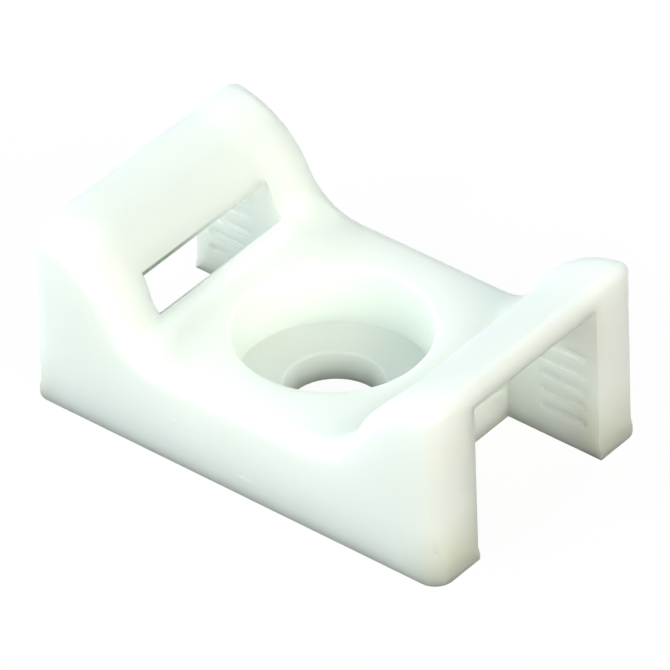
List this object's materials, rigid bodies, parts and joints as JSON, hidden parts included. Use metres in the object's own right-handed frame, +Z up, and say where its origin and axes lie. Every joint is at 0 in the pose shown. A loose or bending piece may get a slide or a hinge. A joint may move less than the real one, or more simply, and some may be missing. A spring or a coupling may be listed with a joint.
{
  "type": "cable tie mount",
  "caption": "Moulded nylon saddle mount for a cable tie: a recessed screw hole in the floor between rounded end walls, and a slot through each wall for the tie.",
  "frame": {"origin": "middle of the mounting face, on the axis of the screw hole", "axes": "+X along the mount from wall to wall, the way the tie runs; +Y across it, along the bundle; +Z up out of the mounting face"},
  "size_m": [0.022, 0.0138, 0.0088],
  "materials": {
    "nylon": "natural milky nylon as moulded, slightly translucent, soft satin gloss"
  },
  "bodies": {
    "root": {"mount_body": "nylon"}
  },
  "joints": []
}
